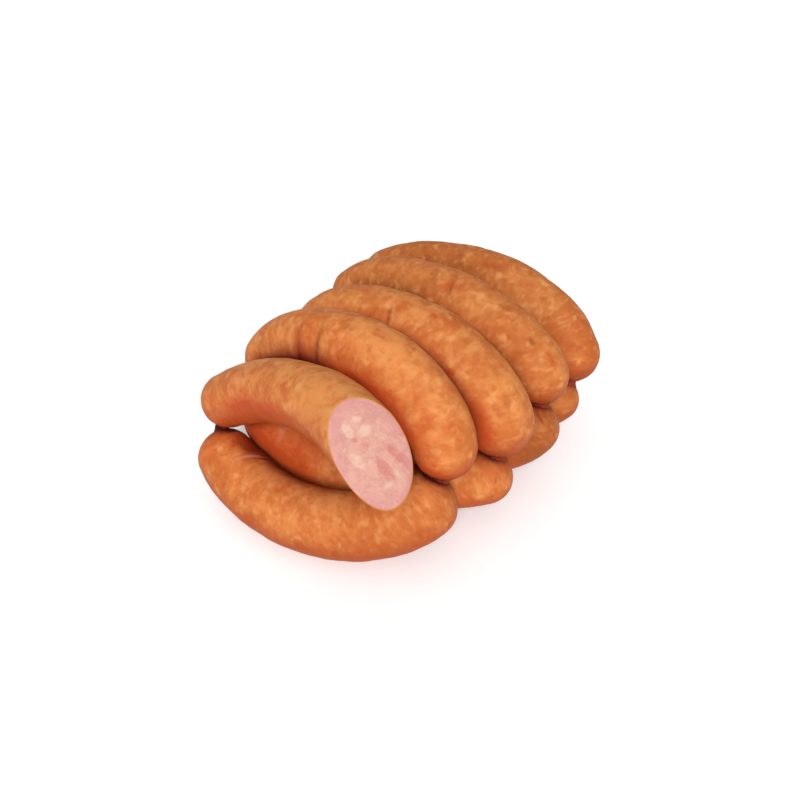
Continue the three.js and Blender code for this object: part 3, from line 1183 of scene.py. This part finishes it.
@dataclass(frozen=True, eq=False)
class Signal:
    """A number that a shader works out at each point, to be used in sums and products."""

    shader: "Shader"
    socket: bpy.types.NodeSocket

    __add__ = math_method("ADD")
    __radd__ = math_method("ADD", swapped=True)
    __sub__ = math_method("SUBTRACT")
    __rsub__ = math_method("SUBTRACT", swapped=True)
    __mul__ = math_method("MULTIPLY")
    __rmul__ = math_method("MULTIPLY", swapped=True)
    __pow__ = math_method("POWER")
    most = math_method("MAXIMUM")

    def step(self, low: float, high: float) -> "Signal":
        """0 at low, 1 at high and smooth between them, whichever of the two is larger.

        Args:
            low: the value that becomes 0.
            high: the value that becomes 1.

        Returns:
            The share.
        """
        settings = {"interpolation_type": "SMOOTHSTEP", "clamp": True}
        if low < high:
            ends = {"From Min": low, "From Max": high, "To Min": 0.0, "To Max": 1.0}
        else:
            ends = {"From Min": high, "From Max": low, "To Min": 1.0, "To Max": 0.0}
        return self.shader.node("ShaderNodeMapRange", settings, {"Value": self, **ends}, "Result")


Operand = Union[Signal, float]


def paint(red: int, green: int, blue: int) -> Colour:
    """A colour in the linear numbers that a shader takes.

    Args:
        red: as a screen shows it, from 0 to 255.
        green: likewise.
        blue: likewise.

    Returns:
        The colour, with full cover.
    """
    parts = np.array((red, green, blue)) / 255
    linear = np.where(parts <= 0.04045, parts / 12.92, ((parts + 0.055) / 1.055) ** 2.4)
    return (*map(float, linear), 1.0)


class Shader:
    """A material's node tree."""

    # The Mix node's colour sockets, by number, as it has others of the same names.
    MIX_FIRST = 6
    MIX_SECOND = 7
    MIX_RESULT = 2

    def __init__(self, name: str) -> None:
        """Starts a material with a surface shader.

        Args:
            name: of the material.
        """
        self.material = bpy.data.materials.new(name)
        self.material.use_nodes = True
        self.tree = self.material.node_tree
        self.surface = self.tree.nodes["Principled BSDF"]
        self.place = self.node("ShaderNodeTexCoord", {}, {}, "Object")

    def node(self, kind: str, settings: dict, inputs: dict, output: Union[str, int] = 0) -> Signal:
        """Adds a node.

        Args:
            kind: the node's type.
            settings: its properties.
            inputs: what each of its sockets takes, a value or a signal.
            output: the socket that is used.

        Returns:
            The signal of that output.
        """
        made = self.tree.nodes.new(kind)
        for key, value in settings.items():
            setattr(made, key, value)
        for key, value in inputs.items():
            self.feed(made.inputs[key], value)
        return Signal(self, made.outputs[output])

    def feed(self, socket: bpy.types.NodeSocket, value: Union[Signal, float, tuple]) -> None:
        """Links a signal to a socket, or sets its value.

        Args:
            socket: of a node.
            value: what it takes.
        """
        if isinstance(value, Signal):
            self.tree.links.new(value.socket, socket)
        else:
            socket.default_value = value

    def noise(self, wave: float, detail: float = 2.0, place: Union[Signal, None] = None) -> Signal:
        """Noise from 0 to 1, with the size of its waves in millimetres."""
        inputs = {"Vector": place or self.place, "Scale": 1 / (wave * MM)}
        return self.node("ShaderNodeTexNoise", {}, {**inputs, "Detail": detail, "Roughness": 0.55})

    def cells(self, size: float) -> tuple[Signal, Signal]:
        """Random cells.

        Args:
            size: of a cell, in millimetres.

        Returns:
            The distance to the cell's middle and the cell's own number.
        """
        inputs = {"Vector": self.place, "Scale": 1 / (size * MM)}
        distance = self.node("ShaderNodeTexVoronoi", {}, inputs, "Distance")
        colour = Signal(self, distance.socket.node.outputs["Color"])
        own = self.node("ShaderNodeSeparateColor", {}, {"Color": colour}, "Red")
        return distance, own

    def wandering(self, wave: float, reach: float) -> Signal:
        """Object coordinates that wander by noise, which makes round spots ragged.

        Args:
            wave: size of the noise, in millimetres.
            reach: how far they wander, in millimetres.

        Returns:
            The coordinates.
        """
        inputs = {"Vector": self.place, "Scale": 1 / (wave * MM), "Detail": 1.0}
        push = self.node("ShaderNodeTexNoise", {}, inputs, "Color")
        inputs = {0: push, 1: (reach * MM,) * 3, 2: self.place}
        return self.node("ShaderNodeVectorMath", {"operation": "MULTIPLY_ADD"}, inputs, "Vector")

    def ringed(self, stretch: float) -> Signal:
        """Coordinates along the link and, drawn out, across it, so that marks run round it.

        Args:
            stretch: how many times as long a mark becomes round the link.

        Returns:
            The coordinates.
        """
        parts = {"X": self.attribute("along")}
        for axis in "YZ":
            parts[axis] = self.node("ShaderNodeSeparateXYZ", {}, {0: self.place}, axis) * (1 / stretch)
        return self.node("ShaderNodeCombineXYZ", {}, parts)

    def attribute(self, name: str) -> Signal:
        """One of the piece's own attributes."""
        return self.node("ShaderNodeAttribute", {"attribute_name": name}, {}, "Fac")

    def mix(self, first: Union[Signal, Colour], second: Union[Signal, Colour], share: Operand) -> Signal:
        """One colour mixed into another by a share."""
        inputs = {"Factor": share, self.MIX_FIRST: first, self.MIX_SECOND: second}
        settings = {"data_type": "RGBA", "clamp_factor": True}
        return self.node("ShaderNodeMix", settings, inputs, self.MIX_RESULT)

    def finish(
        self, colour: Signal, roughness: Operand, height: Signal, depth: float, constants: dict
    ) -> bpy.types.Material:
        """Puts the signals into the surface.

        Args:
            colour: the base colour.
            roughness: from 0 to 1.
            height: of the bumps, from 0 to 1.
            depth: of the bumps, in millimetres.
            constants: the surface's other sockets.

        Returns:
            The material.
        """
        bump = self.node("ShaderNodeBump", {}, {"Height": height, "Distance": depth * MM}, "Normal")
        self.feed(self.surface.inputs["Base Color"], colour)
        self.feed(self.surface.inputs["Roughness"], roughness)
        self.feed(self.surface.inputs["Normal"], bump)
        for key, value in constants.items():
            self.feed(self.surface.inputs[key], value)
        return self.material


@dataclass(frozen=True)
class CasingFinish:
    """Smoked natural casing over coarse meat: orange-brown with golden and red zones and pale fat, with
    painted shade and painted bounce light.
    """

    orange: Colour = paint(186, 103, 52)
    golden: Colour = paint(209, 133, 74)
    red: Colour = paint(180, 70, 30)
    brown: Colour = paint(144, 78, 36)
    # painted shade, between links, in creases and round the ties
    shade_maroon: Colour = paint(84, 20, 20)
    mauve: Colour = paint(190, 120, 112)
    fleck: Colour = paint(216, 156, 96)
    rim: Colour = paint(212, 150, 88)

    def build(self) -> bpy.types.Material:
        """Makes the material.

        Returns:
            The material.
        """
        shader = Shader("smoked_casing")
        ragged = shader.wandering(wave=4, reach=3)
        broad = shader.noise(wave=30, detail=1)
        middling = shader.noise(wave=8, detail=3, place=ragged)
        stroke = shader.noise(wave=3.6, detail=3, place=shader.ringed(stretch=1.5))
        small = shader.noise(wave=2.2, detail=3)
        grain = shader.noise(wave=0.8, detail=2)
        golden = 0.3 * broad + 0.35 * middling + 0.35 * stroke + 0.16 * shader.attribute("gold")
        colour = shader.mix(self.orange, self.golden, golden.step(0.41, 0.64))
        near = shader.attribute("near")
        redder = shader.noise(wave=12, detail=3, place=ragged).step(0.5, 0.72) * 0.35
        redder = redder + shader.attribute("red") + small.step(0.55, 0.75) * 0.25
        # the casing's own red zones, with painted shade on the undersides and some flanks and painted bounce
        # light near other links
        redder = redder + 1.1 * shader.attribute("under") + 0.6 * near
        colour = shader.mix(colour, self.red, redder * (0.6 + 0.5 * small))
        browner = shader.noise(wave=6, detail=2, place=ragged).step(0.56, 0.76) * 0.3
        # the casing's own brown zones, with painted shade on the undersides and some lower flanks
        browner = browner + shader.attribute("brown") + 0.35 * shader.attribute("under")
        colour = shader.mix(colour, self.brown, browner)
        flecks = self.flecks(shader, ragged) * redder.step(1.2, 0.2)
        pale = flecks + 0.8 * shader.attribute("pale")
        colour = shader.mix(colour, self.fleck, pale)
        colour = shader.mix(colour, self.brown, self.specks(shader))
        colour = shader.mix(colour, self.mauve, shader.attribute("mauve"))
        # painted shade: the dark patches, next to other links and round the ties
        dark = shader.attribute("dark") + near**4.2 * 0.95 + shader.attribute("tied") * 0.6
        colour = shader.mix(colour, self.shade_maroon, dark)
        colour = shader.mix(colour, self.rim, shader.attribute("rim") * 0.5)
        roughness = 0.46 + 0.12 * small + 0.3 * dark
        height = 0.4 * stroke + 0.1 * grain + 0.5 * middling
        constants = {
            "Subsurface Weight": 0.12,
            "Subsurface Radius": (1.0, 0.32, 0.14),
            "Subsurface Scale": 0.0025,
            "Specular IOR Level": 0.08,
            "Specular Tint": (1.0, 0.82, 0.66, 1.0),
        }
        return shader.finish(colour, roughness, height, depth=0.5, constants=constants)

    @staticmethod
    def flecks(shader: Shader, ragged: Signal) -> Signal:
        """Pale bits of fat under the casing, in two sizes, soft and ragged.

        Args:
            shader: the casing's.
            ragged: coordinates that wander.

        Returns:
            Their cover, from 0 to 1.
        """
        small = shader.noise(wave=3, detail=1, place=shader.ringed(stretch=1.5)).step(0.5, 0.85) * 0.38
        large = shader.noise(wave=6.5, detail=1, place=ragged).step(0.54, 0.84) * 0.6
        return small.most(large)

    @staticmethod
    def specks(shader: Shader) -> Signal:
        """A few dark specks of spice."""
        distance, own = shader.cells(size=7)
        return distance.step(0.1, 0.05) * own.step(0.7, 0.8) * 0.5


@dataclass(frozen=True)
class MeatFinish:
    """Cooked coarse meat at the cut: pink, with cream fat and darker chunks."""

    pink: Colour = paint(201, 147, 131)
    rose: Colour = paint(190, 130, 120)
    mauve: Colour = paint(193, 130, 128)
    cream: Colour = paint(209, 173, 153)
    lean: Colour = paint(184, 108, 100)

    def build(self) -> bpy.types.Material:
        """Makes the material.

        Returns:
            The material.
        """
        shader = Shader("cut_meat")
        fine = shader.noise(wave=1.4, detail=3)
        grain = shader.noise(wave=0.5, detail=2)
        ragged = shader.noise(wave=2.2, detail=3, place=shader.wandering(wave=2, reach=2))
        broad = shader.noise(wave=7, detail=2, place=shader.wandering(wave=5, reach=4))
        colour = shader.mix(self.pink, self.rose, (0.5 * broad + 0.5 * ragged).step(0.43, 0.58))
        outer = shader.attribute("face").step(0.4, 0.0) * shader.noise(wave=6, detail=2).step(0.35, 0.6)
        colour = shader.mix(colour, self.mauve, outer * 0.8)
        fat = shader.attribute("fat") + 2.3 * (ragged - 0.5) + 0.9 * (fine - 0.5)
        colour = shader.mix(colour, self.cream, fat.step(0.0, 1.0) * 0.85)
        lean = shader.attribute("lean") + 1.5 * (ragged - 0.5) + 0.8 * (fine - 0.5)
        colour = shader.mix(colour, self.lean, lean.step(0.15, 1.1) * 0.8)
        colour = shader.mix(colour, self.cream, grain.step(0.5, 0.75) * 0.3)
        height = 0.6 * fine + 0.4 * grain
        constants = {
            "Subsurface Weight": 0.15,
            "Subsurface Radius": (1.0, 0.5, 0.4),
            "Subsurface Scale": 0.002,
            "Specular IOR Level": 0.3,
        }
        return shader.finish(colour, 0.5 + 0.2 * fine, height, depth=0.25, constants=constants)


@dataclass(frozen=True)
class TwistFinish:
    """Empty casing twisted tight: dark red-brown, with painted shade in its grooves and painted light on its
    ridges, and lighter where it opens into a link.
    """

    ridge: Colour = paint(92, 32, 26)
    # painted shade in the grooves
    groove_shade: Colour = paint(52, 12, 14)
    opened: Colour = paint(124, 50, 30)

    def build(self) -> bpy.types.Material:
        """Makes the material.

        Returns:
            The material.
        """
        shader = Shader("twisted_casing")
        fine = shader.noise(wave=1.4, detail=3)
        share = shader.attribute("groove_shade") + 0.5 * (fine - 0.5)
        colour = shader.mix(self.ridge, self.groove_shade, share)
        colour = shader.mix(colour, self.opened, shader.attribute("flare").step(0.25, 0.8))
        constants = {
            "Subsurface Weight": 0.1,
            "Subsurface Radius": (1.0, 0.3, 0.1),
            "Subsurface Scale": 0.002,
            "Specular IOR Level": 0.08,
        }
        return shader.finish(colour, 0.5 + 0.2 * fine, fine, depth=0.2, constants=constants)


@dataclass
class Studio:
    """The pale floor, the soft light and the camera."""

    azimuth: float = math.radians(37.03)
    elevation: float = math.radians(37.56)
    distance: float = 373.55  # from the target, in millimetres
    target: tuple[float, float, float] = (1.08, -1.33, 42.21)
    lens: float = 30.64
    sensor: float = 36.0
    nearest: float = 0.01  # that the camera sees, in metres
    surround: float = 0.35  # strength of the even light from all sides
    floor_side: float = 6.0  # in metres
    floor_white: float = 1.0  # share of the light that the floor gives back
    floor_roughness: float = 0.9

    def direction(self, azimuth: float, elevation: float) -> Vector:
        """The way to a place seen at an azimuth and an elevation, azimuth 0 being in front."""
        level = math.cos(elevation)
        return Vector((math.sin(azimuth) * level, -math.cos(azimuth) * level, math.sin(elevation)))

    def aim(self, made: bpy.types.Object, place: Vector, target: Vector) -> None:
        """Puts a camera or light at a place, looking at the target.

        Args:
            made: the camera or light.
            place: where it goes, in metres.
            target: what it looks at.
        """
        made.location = place
        made.rotation_euler = (target - place).to_track_quat("-Z", "Y").to_euler()
        bpy.context.scene.collection.objects.link(made)

    def add_camera(self) -> None:
        """The camera, at the picture's angle."""
        lens = bpy.data.cameras.new("camera")
        lens.lens = self.lens
        lens.sensor_width = self.sensor
        lens.clip_start = self.nearest
        camera = bpy.data.objects.new("camera", lens)
        target = Vector(self.target) * MM
        place = target + self.direction(self.azimuth, self.elevation) * self.distance * MM
        self.aim(camera, place, target)
        bpy.context.scene.camera = camera

    def add_light(self, name: str, azimuth: float, elevation: float, spread: float, power: float) -> None:
        """A wide soft light, far away.

        Args:
            name: of the light.
            azimuth: where it is, in degrees.
            elevation: likewise.
            spread: its width as seen from the string, in degrees.
            power: what a white surface that faces it gives back, from 0 to 1.
        """
        lamp = bpy.data.lights.new(name, "SUN")
        lamp.angle = math.radians(spread)
        lamp.energy = power * math.pi
        target = Vector(self.target) * MM
        place = target + self.direction(math.radians(azimuth), math.radians(elevation))
        self.aim(bpy.data.objects.new(name, lamp), place, target)

    def add_floor(self) -> None:
        """A wide pale floor at the height that the string lies on."""
        side = self.floor_side / 2
        corners = [(-side, -side, 0), (side, -side, 0), (side, side, 0), (-side, side, 0)]
        mesh = bpy.data.meshes.new("floor")
        mesh.from_pydata(corners, [], [(0, 1, 2, 3)])
        floor = bpy.data.objects.new("floor", mesh)
        bpy.context.scene.collection.objects.link(floor)
        shader = Shader("pale_floor")
        white = self.floor_white
        shader.feed(shader.surface.inputs["Base Color"], (white, white, white, 1))
        shader.feed(shader.surface.inputs["Roughness"], self.floor_roughness)
        mesh.materials.append(shader.material)

    def build(self) -> None:
        """Sets the studio up."""
        world = bpy.data.worlds.new("studio")
        world.use_nodes = True
        background = world.node_tree.nodes["Background"]
        background.inputs["Color"].default_value = (1, 1, 1, 1)
        background.inputs["Strength"].default_value = self.surround
        bpy.context.scene.world = world
        bpy.context.scene.view_settings.view_transform = "Standard"
        self.add_camera()
        self.add_light("key", azimuth=37, elevation=40, spread=26, power=0.95)
        self.add_light("top", azimuth=0, elevation=80, spread=60, power=0.15)
        self.add_floor()


def main() -> None:
    """Builds the string and its studio."""
    logging.basicConfig(level=logging.INFO, format="%(name)s: %(message)s")
    Studio().build()
    winding = Winding(LINKS)
    casing = CasingFinish().build()
    twisted = TwistFinish().build()
    cut = CutLink(winding)
    pieces = [cut.build_casing(casing), cut.build_meat(MeatFinish().build())]
    pieces += [WholeLink(winding, index).build(casing) for index in range(1, len(LINKS))]
    pieces += [Twist(winding, index).build(twisted) for index in range(len(LINKS))]
    for piece in pieces:
        log.info("%s: %d faces", piece.name, len(piece.data.polygons))


if __name__ == "__main__":
    main()
